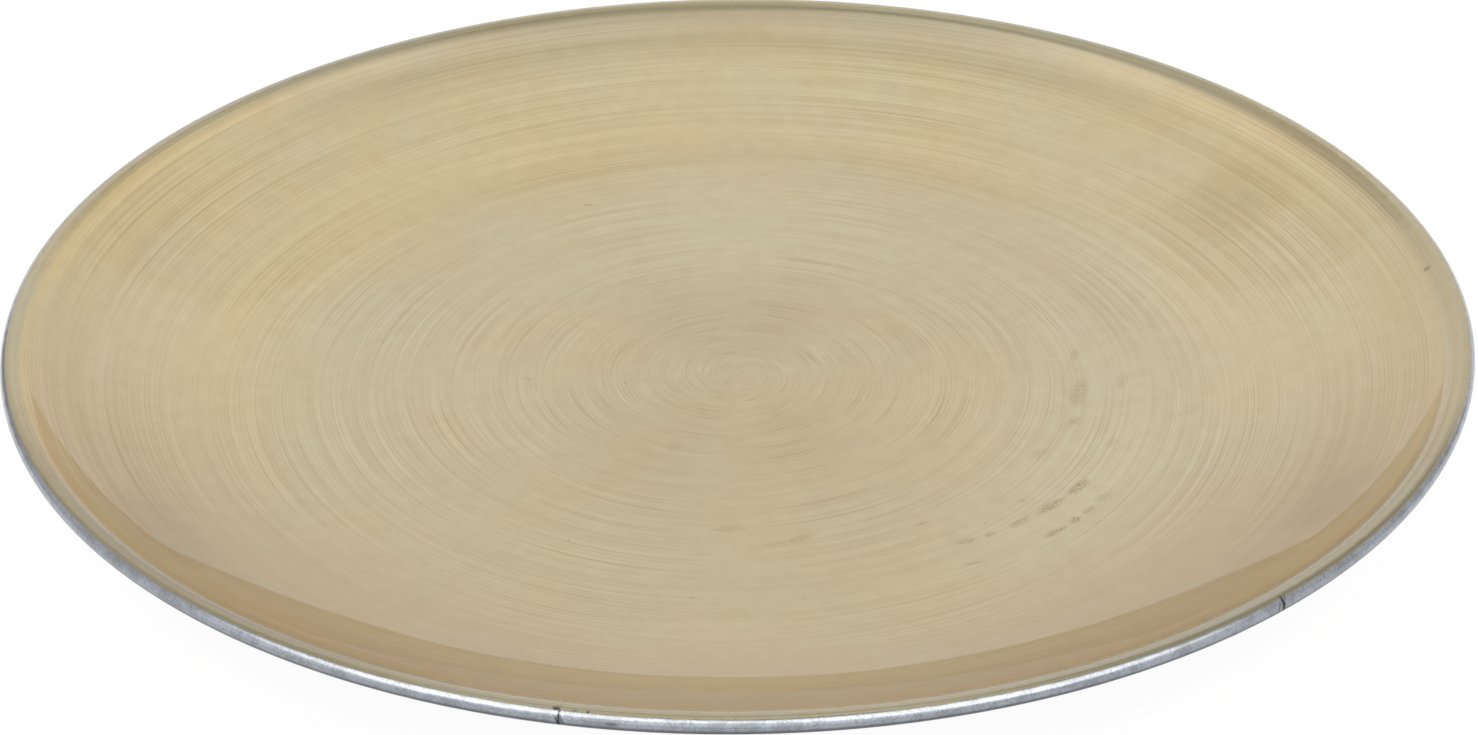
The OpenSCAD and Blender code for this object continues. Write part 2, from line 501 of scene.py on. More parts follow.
# Single short scratches, in the same form
SCRATCHES = (
    (113.4, 93.7, 1.7, 0.45, -30.0, 0.8),
    (85.8, 102.4, 2.6, 0.5, 25.0, 0.35),
    (101.5, 10.4, 2.6, 0.9, 0.0, 0.4),
    (181.0, 48.3, 1.7, 0.28, 75.0, 0.6),
    (186.6, 26.1, 0.5, 0.3, 20.0, 0.8),
    (304.5, 27.7, 0.5, 0.3, 0.0, 0.6),
    (242.3, 77.9, 0.45, 0.3, 0.0, 0.7),
    (258.5, 101.8, 0.4, 0.3, 0.0, 0.7),
    (278.2, 92.7, 0.45, 0.3, 0.0, 0.5),
    (263.8, 91.9, 1.1, 0.35, 15.0, 0.6),
    (314.4, 147.2, 0.5, 0.3, 0.0, 0.5),
    (318.3, 82.4, 0.5, 0.4, 0.0, 0.6),
    (309.5, 82.9, 0.45, 0.35, 0.0, 0.6),
    (301.7, 74.9, 2.0, 0.4, -10.0, 0.6),
    (302.0, 93.4, 3.3, 0.4, -16.0, 0.5),
)
# Marks on the leaf: direction in degrees, turn from the edge's top in degrees, half length along the edge
# and half width across it in millimetres, turn of the mark in degrees, and strength
EDGE_MARKS = (
    (257.86, 14.0, 0.9, 0.6, 0.0, 1.0),
    (258.0, 95.0, 0.22, 1.6, -25.0, 0.9),
    (258.4, 95.0, 0.22, 1.6, -28.0, 0.85),
    (258.2, 100.0, 0.55, 1.0, -25.0, 0.5),
    (259.1, 16.0, 0.8, 0.2, 0.0, 0.6),
    (260.0, 18.0, 0.4, 0.35, 0.0, 1.0),
    (261.6, 80.0, 1.4, 0.5, 3.0, 0.6),
    (310.25, 18.0, 0.6, 0.3, 0.0, 0.9),
    (309.72, 80.0, 0.22, 1.8, 27.0, 0.85),
    (310.5, 35.0, 0.22, 0.8, 20.0, 0.8),
    (3.9, -38.0, 0.8, 0.4, 0.0, 0.7),
)


# A mark starts at the first of these shares of its half sizes and is full from the second one inwards
MARK_START, MARK_FULL = 1.15, 0.35


def strongest_mark(finish, place, marks):
    """The strongest of several soft ellipses, each a middle, a turn, two half sizes and a strength.

    Each is a smooth step of the distance from its middle, measured in its own half sizes.
    """
    strongest = 0.0
    for middle, turn, halves, strength in marks:
        values = {"Vector": place, "Location": middle, "Rotation": (0.0, 0.0, turn), "Scale": (*halves, 1.0)}
        local = finish.node("ShaderNodeMapping", values, vector_type="TEXTURE").outputs[0]
        flat = finish.tinted(local, (1.0, 1.0, 0.0))
        far = finish.node("ShaderNodeVectorMath", {0: flat}, operation="LENGTH").outputs["Value"]
        mark = finish.ease(far, MARK_START, MARK_FULL, 0.0, strength)
        strongest = finish.math("MAXIMUM", strongest, mark)
    return strongest


def on_face(marks):
    """Marks of the face in object coordinates, each laid along the strokes at its place."""
    for direction, radius, along, across, turn, strength in marks:
        angle = math.radians(direction)
        middle = (radius * MM * math.cos(angle), radius * MM * math.sin(angle), 0.0)
        yield middle, angle + math.pi / 2 + math.radians(turn), (along * MM, across * MM), strength


def on_edge(marks, radius, round_r):
    """Marks of the leaf in the map round the edge, in metres, with directions from -180 to 180 degrees."""
    for direction, turn, along, across, skew, strength in marks:
        signed = direction - 360 if direction > 180 else direction
        middle = (math.radians(signed) * radius, math.radians(turn) * round_r, 0.0)
        yield middle, math.radians(skew), (along * MM, across * MM), strength


# Kinds of stroke: width across in millimetres, reach round the plate in radians, detail and roughness of
# the noise, and the layer of it that they are cut from
HAIR = (0.22, 0.8, 1.0, 0.5, 1.0)
FINE = (0.7, 1.0, 1.0, 0.6, 11.0)
BROAD = (3.4, 1.6, 1.0, 0.6, 3.0)
THREAD = (0.26, 0.8, 0.0, 0.5, 17.0)
GRIT = (0.4, 0.011, 3.0, 0.8, 9.0)
# How far apart the layers of a kind's two drawings are, and the cosine of the direction, either way, over
# which they are mixed
LAYER_STEP = 7.0
SEAM_MIX = 0.3


class Strokes:
    """Brush strokes in polar lanes about the strokes' middle.

    A stroke keeps its lane: its radius plus climb times its direction. That has a seam in one direction,
    so each noise is drawn twice, with seams on opposite sides, and the two are mixed away from the seams.
    """

    def __init__(self, finish, place, settings):
        self.finish = finish
        middle = (-settings.centre_x, -settings.centre_y, 0.0)
        moved = finish.node("ShaderNodeVectorMath", {0: place, 1: middle}, operation="ADD").outputs[0]
        axes = finish.node("ShaderNodeSeparateXYZ", {0: moved}).outputs
        x, y = axes["X"], axes["Y"]
        self.x, self.y = x, y
        self.radius = finish.math("SQRT", finish.weighted((x, x), (y, y)))
        self.lanes = []
        for side in (1.0, -1.0):
            angle = finish.math("ARCTAN2", finish.times(y, side), finish.times(x, side))
            lane = finish.plus(self.radius, finish.times(angle, settings.climb))
            self.lanes.append((lane, angle))
        self.share = finish.ease(finish.math("DIVIDE", x, self.radius), -SEAM_MIX, SEAM_MIX)

    def noise(self, width, reach, detail, roughness, layer):
        """Noise of a kind of stroke: the lane over the width, against the direction over the reach."""
        drawn = []
        for number, (lane, angle) in enumerate(self.lanes):
            across, along = self.finish.times(lane, 1 / (width * MM)), self.finish.times(angle, 1 / reach)
            place = self.finish.vector(across, along, layer + LAYER_STEP * number)
            drawn.append(self.finish.noise(place, 1.0, detail, roughness))
        values = {"Factor": self.share, NUMBER_A: drawn[1], NUMBER_B: drawn[0]}
        return self.finish.node("ShaderNodeMix", values, data_type="FLOAT").outputs[0]


# Wide factors on the coat's colour, mostly painted light that was matched for one view: painted shade on the
# near wall and the far border, painted reflections of the room's dark and bright parts on the crest and at
# the sides, and painted highlights, with some uneven colour of the coat itself. Columns: direction and half
# width round the plate in degrees, radius and half width across in millimetres, and factor on red, green and
# blue
PAINTED_LIGHT_AND_TONES = (
    (90.0, 75.0, 70.0, 45.0, (0.985, 1.02, 1.03)),
    (150.0, 70.0, 115.0, 30.0, (1.02, 1.01, 0.95)),
    (350.0, 60.0, 90.0, 40.0, (1.01, 1.045, 1.10)),
    (325.0, 40.0, 105.0, 50.0, (1.01, 1.03, 1.06)),
    (0.0, 45.0, 153.0, 10.0, (0.97, 0.96, 0.89)),
    (180.0, 45.0, 152.0, 10.0, (0.98, 0.96, 0.88)),
    (180.0, 45.0, 85.0, 40.0, (1.0, 1.03, 1.07)),
    (90.0, 60.0, 28.0, 40.0, (0.93, 0.92, 0.93)),
    (270.0, 70.0, 38.0, 45.0, (0.96, 0.94, 0.90)),
    (29.0, 7.0, 141.0, 22.0, (0.89, 0.87, 0.82)),
    (90.0, 62.0, 140.0, 26.0, (0.94, 0.97, 0.97)),
    (240.0, 26.0, 143.0, 16.0, (1.09, 1.09, 1.07)),
    (300.0, 26.0, 143.0, 16.0, (1.08, 1.10, 1.12)),
    (270.0, 95.0, 128.0, 30.0, (0.80, 0.73, 0.64)),
    (270.0, 95.0, 147.0, 22.0, (0.66, 0.54, 0.39)),
    (270.0, 80.0, 152.0, 8.0, (0.98, 0.88, 0.72)),
    (264.0, 70.0, 131.0, 5.0, (1.0, 0.97, 0.88)),
    (262.0, 60.0, 148.5, 1.6, (1.03, 0.93, 0.78)),
    (262.0, 60.0, 155.5, 1.8, (1.03, 0.91, 0.76)),
    (270.0, 80.0, 160.3, 3.0, (0.82, 0.77, 0.70)),
    (225.0, 32.0, 160.8, 4.0, (0.74, 0.72, 0.68)),
    (315.0, 32.0, 160.8, 4.0, (0.74, 0.72, 0.68)),
    (225.0, 30.0, 164.2, 1.3, (0.55, 0.55, 0.54)),
    (315.0, 30.0, 164.3, 1.3, (0.62, 0.62, 0.60)),
    (225.0, 40.0, 157.5, 4.0, (1.0, 0.88, 0.72)),
    (315.0, 40.0, 157.5, 4.0, (1.0, 0.88, 0.72)),
    (0.0, 50.0, 161.5, 4.5, (1.08, 1.0, 0.84)),
    (180.0, 50.0, 159.6, 4.5, (1.10, 1.04, 0.87)),
    (0.0, 50.0, 166.0, 3.0, (0.72, 0.62, 0.50)),
    (180.0, 50.0, 164.2, 3.0, (0.72, 0.62, 0.50)),
    (90.0, 62.0, 157.0, 14.0, (0.76, 0.76, 0.74)),
    (90.0, 62.0, 153.5, 5.0, (0.84, 0.84, 0.80)),
    (90.0, 42.0, 158.3, 4.2, (0.62, 0.62, 0.58)),
    (90.0, 42.0, 162.6, 3.0, (1.32, 1.27, 1.16)),
    (214.0, 9.0, 147.0, 14.0, (0.90, 0.88, 0.86)),
    (330.0, 7.0, 147.0, 14.0, (0.90, 0.88, 0.86)),
)


def painted_light_and_tones(finish, strokes, colour):
    """Multiplies the colour by each painted light factor: full at its middle and fading to its half widths.

    The cosine of the angle from its direction is x cos a + y sin a over the radius.
    """
    for direction, spread, radius, reach, factor in PAINTED_LIGHT_AND_TONES:
        angle = math.radians(direction)
        near = finish.weighted((strokes.x, math.cos(angle)), (strokes.y, math.sin(angle)))
        near = finish.math("DIVIDE", near, strokes.radius)
        round_share = finish.ease(near, math.cos(math.radians(spread)), 1.0)
        away = finish.math("ABSOLUTE", finish.plus(strokes.radius, -radius * MM))
        light_and_tone_share = finish.times(round_share, finish.ease(away, reach * MM, 0.0))
        colour = finish.mix(light_and_tone_share, colour, finish.tinted(colour, factor))
    return colour


# Noises of a place: waves per metre, detail and roughness
COAT_CLOUD, COAT_MOTTLE = (30.0, 2.0, 0.6), (190.0, 3.0, 0.65)
LEAF_CLOUD, LEAF_SPECK = (260.0, 3.0, 0.6), (1700.0, 2.0, 0.65)
BODY_CLOUD, BODY_GRAIN = (55.0, 2.0, 0.5), (2600.0, 2.0, 0.6)

# How far from 0.5 a noise is taken before it is stretched: the coat's clouds, the streaks' lightness, the
# fine strokes' change of roughness, and the body's clouds
CLOUD_SPREAD, STREAK_SPREAD, FINE_SPREAD, BODY_SPREAD = 0.16, 0.2, 0.3, 0.2
# Radii at which the floor's darkening and its middle's further darkening start and are full, and the width
# over which the coat changes to the crest's
FLOOR_DARKENING, MIDDLE_DARKENING = (122 * MM, 98 * MM), (55 * MM, 20 * MM)
CREST_REACH = 3 * MM
# Weights of the noises in a streak's lightness, and of the strokes in the coat's height
HAIR_LIGHT, FINE_LIGHT, BROAD_LIGHT, MOTTLE_LIGHT = 0.45, 0.25, 0.10, 0.2
STROKE_HEIGHT = 0.5
# Powers of a streak's lightness for red, green and blue: a dark streak is browner, a light one paler
STREAK_POWERS = (0.8, 1.05, 1.45)
# Ranges of noise over which threads start to show, and the grit that a scuff is broken into
THREAD_RANGE, GRIT_RANGE = (0.62, 0.76), (0.44, 0.53)
# How much of the scuffs' colour shows, and how far the fine strokes change the roughness either way
SCUFF_DEPTH, ROUGHNESS_CHANGE = 0.75, 0.04


def champagne(finish, place, settings):
    """Colour, metallic share, roughness and height of the brushed coat, as four sockets.

    Two tones mixed in clouds, darker on the floor and darker still in its middle, times the wide factors of
    painted light, times a power of the streaks' lightness. Then come the scuffs and scratches, and the
    change towards the crest.
    """
    strokes = Strokes(finish, place, settings)
    hair, fine, broad, thread, grit = [strokes.noise(*kind) for kind in (HAIR, FINE, BROAD, THREAD, GRIT)]
    cloud, mottle = finish.noise(place, *COAT_CLOUD), finish.noise(place, *COAT_MOTTLE)
    colour = finish.mix(finish.stretched(cloud, CLOUD_SPREAD), settings.cool, settings.warm)
    # Darker on the floor, and darker still in its middle
    for wear, factor in ((FLOOR_DARKENING, settings.worn), (MIDDLE_DARKENING, settings.rubbed)):
        colour = finish.mix(finish.ease(strokes.radius, *wear), colour, finish.tinted(colour, factor))
    # Painted shade, painted reflections and painted highlights matched for one view, with some uneven colour
    # of the coat
    colour = painted_light_and_tones(finish, strokes, colour)
    level = finish.weighted(
        (fine, FINE_LIGHT), (broad, BROAD_LIGHT), (hair, HAIR_LIGHT), (mottle, MOTTLE_LIGHT)
    )
    light = finish.stretched(level, STREAK_SPREAD, 1 - settings.streak, 1 + settings.streak)
    light = finish.times(light, finish.ease(thread, *THREAD_RANGE, 1.0, 1 - settings.thread))
    bands = [finish.math("POWER", light, power) for power in STREAK_POWERS]
    colour = finish.tinted(colour, finish.vector(*bands))
    scuffs = finish.times(strongest_mark(finish, place, on_face(SCUFFS)), finish.ease(grit, *GRIT_RANGE))
    dark = finish.math("MAXIMUM", scuffs, strongest_mark(finish, place, on_face(SCRATCHES)))
    colour = finish.mix(finish.times(dark, SCUFF_DEPTH), colour, settings.scuff)
    on_crest = finish.ease(strokes.radius, settings.crest_start, settings.crest_start + CREST_REACH)
    colour = finish.mix(on_crest, colour, finish.tinted(colour, settings.crest_tint))
    metallic = finish.between(on_crest, settings.metallic, settings.crest_metallic)
    roughness = finish.between(on_crest, settings.roughness, settings.crest_roughness)
    change = finish.stretched(fine, FINE_SPREAD, -ROUGHNESS_CHANGE, ROUGHNESS_CHANGE)
    height = finish.weighted((hair, STROKE_HEIGHT), (fine, STROKE_HEIGHT))
    return colour, metallic, finish.plus(roughness, change), height


LACQUER_IOR = 1.5
# How far the strokes, the leaf's creases and the mould's grain stand out, and how strongly the grain does
STROKE_DEPTH, LEAF_DEPTH, GRAIN_DEPTH, GRAIN_STRENGTH = 0.05 * MM, 0.08 * MM, 0.04 * MM, 0.3


def lacquered_face(settings):
    """Brushed champagne coat under clear lacquer."""
    finish = Finish("brushed champagne lacquer")
    colour, metallic, roughness, height = champagne(finish, finish.place(), settings)
    grain = finish.node("ShaderNodeTangent", direction_type="RADIAL", axis="Z")
    return finish.surface(
        {
            "Base Color": colour,
            "Metallic": metallic,
            "Roughness": roughness,
            "Anisotropic": settings.anisotropic,
            "Tangent": grain.outputs[0],
            "Normal": finish.bump(height, STROKE_DEPTH),
            "Coat Weight": settings.lacquer,
            "Coat Roughness": settings.lacquer_roughness,
            "Coat IOR": LACQUER_IOR,
        }
    )


# Ranges of noise over which the leaf gets thick, and a speck of it is missing, by the first share below at
# most, and how far the painted shade darkens the round's lower side at most
THICK_RANGE, SPECK_RANGE = (0.42, 0.56), (0.62, 0.74)
SPECK_SHARE, DARKEST_SHADE_SHARE = 0.5, 0.8
# How far the end of the tinted lacquer wanders with the clouds and the specks, and over what it fades
CLOUD_WANDER, SPECK_WANDER, LACQUER_FADE = 0.3 * MM, 0.9 * MM, 0.2 * MM
# Shares of a joint's width: how far specks wear it, and where its dark line starts and is full
JOINT_WEAR, JOINT_START, JOINT_FULL = 1.1, 0.55, 0.1
# Joints of the first width are dark by the first share, and those of the second by the second. Under the
# lacquer a smaller share of that is left.
JOINT_WIDTHS, JOINT_SHARES = (0.3 * MM, 0.7 * MM), (0.15, 0.7)
UNDER_LACQUER = 0.12
# Range of noise over which a mark gets whole, and its share where it isn't
MARK_RANGE, MARK_SHARE = (0.36, 0.5), 0.65
# Weight and roughness of the bare leaf's varnish
VARNISH, VARNISH_ROUGHNESS = 0.4, 0.12


def bare_leaf(finish, settings, leaf_r, turn, cloud, speck):
    """Colour of the leaf: two tones mixed by grains, then dark specks, and painted shade that darkens its
    lower side.
    """
    grains = finish.weighted((cloud, 0.5), (speck, 0.5))
    silver = finish.mix(finish.ease(grains, *THICK_RANGE), settings.shade, settings.silver)
    silver = finish.mix(finish.ease(speck, *SPECK_RANGE, 0.0, SPECK_SHARE), silver, settings.under)
    shade_from, shade_to = settings.shade_from * leaf_r, settings.shade_to * leaf_r
    # Painted shade on the round's lower side
    return finish.mix(finish.ease(turn, shade_from, shade_to, 0.0, DARKEST_SHADE_SHARE), silver, settings.under)


def lacquer_over(finish, end, turn, cloud, speck):
    """Share of tinted lacquer: full on top, and none past an end that wanders with the noises."""
    wander = finish.weighted((cloud, CLOUD_WANDER), (speck, SPECK_WANDER))
    ragged = finish.plus(turn, finish.plus(wander, -(CLOUD_WANDER + SPECK_WANDER) / 2))
    return finish.ease(ragged, end + LACQUER_FADE, end - LACQUER_FADE)


def joint_lines(finish, speck, tinted):
    """Darkness beside the joints: a line worn by specks, fainter at narrow joints and under the lacquer."""
    joint = finish.node("ShaderNodeAttribute", attribute_name="from joint").outputs["Fac"]
    gap = finish.node("ShaderNodeAttribute", attribute_name="joint gap").outputs["Fac"]
    worn = finish.plus(joint, finish.times(finish.plus(speck, -0.5), finish.times(gap, JOINT_WEAR)))
    line = finish.ease(worn, finish.times(gap, JOINT_START), finish.times(gap, JOINT_FULL))
    line = finish.times(line, finish.ease(gap, *JOINT_WIDTHS, *JOINT_SHARES))
    return finish.times(line, finish.between(tinted, 1.0, UNDER_LACQUER))


def leafed_edge(settings, face, section):
    """Silver leaf with soft creases, dark at its open joints, painted shade on its lower side, and tinted by
    the face's lacquer on top.
    """
    finish = Finish("silver leaf")
    place = finish.place()
    along = finish.node("ShaderNodeUVMap", uv_map="round the edge").outputs[0]
    turn = finish.node("ShaderNodeSeparateXYZ", {0: along}).outputs["Y"]
    colour, metallic, roughness, height = champagne(finish, place, face)
    cloud, speck = finish.noise(place, *LEAF_CLOUD), finish.noise(place, *LEAF_SPECK)
    silver = bare_leaf(finish, settings, section.leaf_r, turn, cloud, speck)
    tinted = lacquer_over(finish, settings.lacquer_end * section.leaf_r, turn, cloud, speck)
    marks = strongest_mark(finish, along, on_edge(EDGE_MARKS, section.sizes.radius, section.leaf_r))
    marks = finish.times(marks, finish.ease(speck, *MARK_RANGE, MARK_SHARE, 1.0))
    dark = finish.math("MAXIMUM", joint_lines(finish, speck, tinted), marks)
    return finish.surface(
        {
            "Base Color": finish.mix(dark, finish.mix(tinted, silver, colour), settings.under),
            "Metallic": finish.between(tinted, 1.0, metallic),
            "Roughness": finish.between(tinted, settings.roughness, roughness),
            "Normal": finish.bump(finish.plus(cloud, height), LEAF_DEPTH),
            "Coat Weight": finish.between(tinted, VARNISH, face.lacquer),
            "Coat Roughness": finish.between(tinted, VARNISH_ROUGHNESS, face.lacquer_roughness),
            "Coat IOR": LACQUER_IOR,
        }
    )


# Share of the paler colour in the body's clouds, and the change of its roughness either way
PALE_SHARE = 0.25
SMOOTHER, ROUGHER = 0.05, 0.06


def moulded_plastic(settings):
    """Dark plastic in faint clouds, with the fine grain of its mould."""
    finish = Finish("dark moulded plastic")
    place = finish.place()
    cloud, grain = finish.noise(place, *BODY_CLOUD), finish.noise(place, *BODY_GRAIN)
    pale = finish.stretched(cloud, BODY_SPREAD, 0.0, PALE_SHARE)
    low, high = settings.roughness - SMOOTHER, settings.roughness + ROUGHER
    return finish.surface(
        {
            "Base Color": finish.mix(pale, settings.plastic, settings.pale),
            "Roughness": finish.stretched(cloud, BODY_SPREAD, low, high),
            "Normal": finish.bump(grain, GRAIN_DEPTH, GRAIN_STRENGTH),
        }
    )


def paper(settings, name, seen_glow, mirrored_glow):
    """White paper that glows for the camera and in mirrors and for nothing else, and is clear from below."""
    finish = Finish(name)
    path = finish.node("ShaderNodeLightPath").outputs
    seen = finish.math("MAXIMUM", path["Is Camera Ray"], path["Is Transmission Ray"])
    glow = finish.weighted((seen, seen_glow), (path["Is Glossy Ray"], mirrored_glow))
    colour = finish.mix(seen, settings.paper, settings.paper_seen)
    lit = finish.node("ShaderNodeBsdfDiffuse", {"Color": colour})
    shine = finish.node("ShaderNodeEmission", {"Color": (1.0, 1.0, 1.0), "Strength": glow})
    both = finish.node("ShaderNodeAddShader", {0: lit.outputs[0], 1: shine.outputs[0]})
    back = finish.node("ShaderNodeNewGeometry").outputs["Backfacing"]
    clear = finish.node("ShaderNodeBsdfTransparent")
    mixed = finish.node("ShaderNodeMixShader", {0: back, 1: both.outputs[0], 2: clear.outputs[0]})
    return finish.close(mixed.outputs[0])


def plate(context):
    """The plate's settings in this scene."""
    return context.scene.charger_plate


def ripple(section, r, angle):
    """Height of the face's faint ripple: the mean of its waves, times a fade at its middle and its rim."""
    height = sum(np.cos(n * angle + 2 * math.pi * k * r + phase) for n, k, phase in RIPPLE_WAVES)
    inward = np.clip(r / section.sizes.floor_r, 0, 1) ** 2
    outward = np.clip((section.wall_end[0] - r) / RIPPLE_FADE, 0, 1)
    return section.sizes.ripple * height / len(RIPPLE_WAVES) * inward * outward


class CHARGER_OT_body(bpy.types.Operator):
    """Turn the dark moulded body, with its foot ring and the dimple of the mould's inlet"""

    bl_idname = "charger.body"
    bl_label = "Moulded Body"

    def execute(self, context):
        settings = plate(context)
        sizes, section = settings.sizes, Section(settings.sizes)
        turns = np.linspace(-sizes.border_lean, math.pi - section.rest_slope, EDGE_STEPS)
        wall = np.linspace(section.wall_end[0], sizes.floor_r, UNDER_STEPS)
        foot_z = sizes.floor_z - sizes.lacquer_t - sizes.floor_t
        line = np.concatenate(
            [
                section.face_line(sizes.lacquer_t, BODY_FLOOR_STEPS, UNDER_STEPS, CORNER_STEPS)[:-1],
                section.edge_line(turns, 0.0),
                section.under_face(wall, section.wall_depth(wall)),
                foot_line(sizes, foot_z),
                gate_line(sizes, foot_z),
            ]
        )
        material = moulded_plastic(settings.body)
        turned_piece("moulded_body", line, ["plate_body"], material)
        return {"FINISHED"}


# How far the fillet between the foot ring and the floor reaches out and down
FILLET_OUT, FILLET_DOWN = 0.3 * MM, 0.1 * MM
# The lip of the inlet's dimple, in millimetres: how far out from its edge and up from the floor points lie
DIMPLE_LIP = ((3.0, 0.0), (0.1, 0.0), (-0.1, 0.1))
# Inwards from the dimple's wall, to a second point that keeps its corner crisp
DIMPLE_CORNER = 0.2 * MM
# The stub where the sprue broke, in millimetres: radii, and how far it hangs below the dimple's ceiling
STUB = ((1.2, 0.0), (1.0, 0.15), (0.5, 0.2), (0.0, 0.2))


def corner(middle, radius, start, end):
    """An arc of (r, z) points about a middle, between two angles in degrees."""
    angle = np.radians(np.linspace(start, end, CORNER_STEPS))
    return np.stack([middle[0] + radius * np.cos(angle), middle[1] + radius * np.sin(angle)], -1)


def foot_line(sizes, foot_z):
    """The foot ring's section from outside to inside: leaning sides and rounded lower edges."""
    c = sizes.foot_chamfer
    outer, inner = sizes.foot_r - c, sizes.foot_r - c - sizes.foot_w
    outside, inside = sizes.foot_r + sizes.foot_draft, inner - c - sizes.foot_draft
    return np.concatenate(
        [
            [[outside + FILLET_OUT, foot_z], [outside, foot_z - FILLET_DOWN]],
            corner((outer, c), c, 0, -90),
            corner((inner, c), c, -90, -180),
            [[inside, foot_z - FILLET_DOWN], [inside - FILLET_OUT, foot_z]],
        ]
    )


def gate_line(sizes, foot_z):
    """The underside's flat middle and the dimple, with the small stub that is left where the sprue broke."""
    wall, ceiling = sizes.gate_r - sizes.gate_depth, foot_z + sizes.gate_depth
    lip = [[sizes.gate_r + out * MM, foot_z + up * MM] for out, up in DIMPLE_LIP]
    inner = [[wall, ceiling], [wall - DIMPLE_CORNER, ceiling]]
    return np.array(lip + inner + [[r * MM, ceiling - down * MM] for r, down in STUB])


class CHARGER_OT_face(bpy.types.Operator):
    """Turn the brushed and lacquered face, from the centre to the top of the border"""

    bl_idname = "charger.face"
    bl_label = "Lacquered Face"

    def execute(self, context):
        settings = plate(context)
        sizes, section = settings.sizes, Section(settings.sizes)
        top = section.face_line(0.0, FLOOR_STEPS, WALL_STEPS, BORDER_STEPS)
        low = section.face_line(sizes.lacquer_t, COAT_FLOOR_STEPS, UNDER_STEPS, CORNER_STEPS)[::-1]

        def lift(r, angle, z):
            """The ripple for the points over the middle of the coat, and 0 for those under it."""
            on_top = z > sizes.floor_z + section.rise(r) - sizes.lacquer_t / 2
            return np.where(on_top, ripple(section, r, angle), 0.0)

        line, material = np.concatenate([top, low]), lacquered_face(settings.face)
        turned_piece("lacquered_face", line, ["face_lacquer"], material, lift)
        return {"FINISHED"}


def strip_span(node):
    """First and last direction of a strip of leaf, in radians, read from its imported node."""
    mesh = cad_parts[node].data
    points = np.empty(len(mesh.vertices) * 3, np.float32)
    mesh.vertices.foreach_get("co", points)
    x, y = points.reshape(-1, 3)[:, 0], points.reshape(-1, 3)[:, 1]
    middle = math.atan2(y.mean(), x.mean())
    turned_back = np.angle(np.exp(1j * (np.arctan2(y, x) - middle)))
    return middle + float(turned_back.min()), middle + float(turned_back.max())


def joint_gaps(spans, radius):
    """Widths of the joints that follow each strip, in metres."""
    firsts = [first for first, last in spans[1:] + spans[:1]]
    return [(first - last) % (2 * math.pi) * radius for first, (_, last) in zip(firsts, spans)]


# How far apart the points along a strip are, and how far it wraps round the edge from its top
STRIP_STEP = 0.6 * MM
LEAF_WRAP = math.radians(148)
# A joint wider than this opens over a turn of OPEN_FROM, from that turn from the edge's top onwards. The
# strips are drawn out over a share of the joint on either side: a smaller one where it is open. A torn end
# wanders over a share of what is left open, in waves of which so many go into one radian of turn.
OPEN_JOINT = 0.5 * MM
OPEN_FROM = math.radians(12)
CLOSING_SHARE, OPEN_SHARE = 0.49, 0.33
TEAR_SHARE = 0.3
TEAR_WAVES = (3, 9, 21)
# Creases: how many waves, the least of the random numbers that they take, radians per millimetre along the
# strip, radians per radian of turn that each wave slants more than the one before, their phase, the turn
# over which they fade, and the first strip's seed
CREASES, CREASE_LEAST = 6, 0.4
CREASE_ALONG, CREASE_ROUND, CREASE_PHASE = 1.4, 2, 6.3
CREASE_FADE = 0.3
CREASE_SEED = 100


def torn(turns, gap, seed):
    """How far a strip's end reaches into its joint at each turn round the edge, in metres.

    A share of the joint, plus a sum of sines of the turn, of which each is weaker than the one before.
    """
    opened = np.clip((turns - OPEN_FROM) / OPEN_FROM, 0, 1) if gap > OPEN_JOINT else 0.0
    closing = gap * (CLOSING_SHARE + (OPEN_SHARE - CLOSING_SHARE) * opened)
    phases = np.random.default_rng(seed).uniform(0, 2 * math.pi, len(TEAR_WAVES))
    wander = sum(np.sin(n * turns + w) / (i + 1) for i, (n, w) in enumerate(zip(TEAR_WAVES, phases)))
    return closing + TEAR_SHARE * (gap - 2 * closing) * wander


def creased(settings, along, turns, seed):
    """Height of the leaf's creases: the mean of slanting sine waves, which fade at its two long sides."""
    waves = np.random.default_rng(seed).uniform(CREASE_LEAST, 1.0, (CREASES, 3))
    total = 0 * along
    for number, (a, b, c) in enumerate(waves):
        slant = number - (CREASES - 1) / 2
        round_it = turns * slant * CREASE_ROUND * b
        total = total + np.sin(along / MM * a * CREASE_ALONG + round_it + CREASE_PHASE * c)
    from_sides = (turns - turns.min(), turns.max() - turns)
    begin, end = [np.clip(far / CREASE_FADE, 0, 1) for far in from_sides]
    return settings.crease * total / len(waves) * (begin * end)


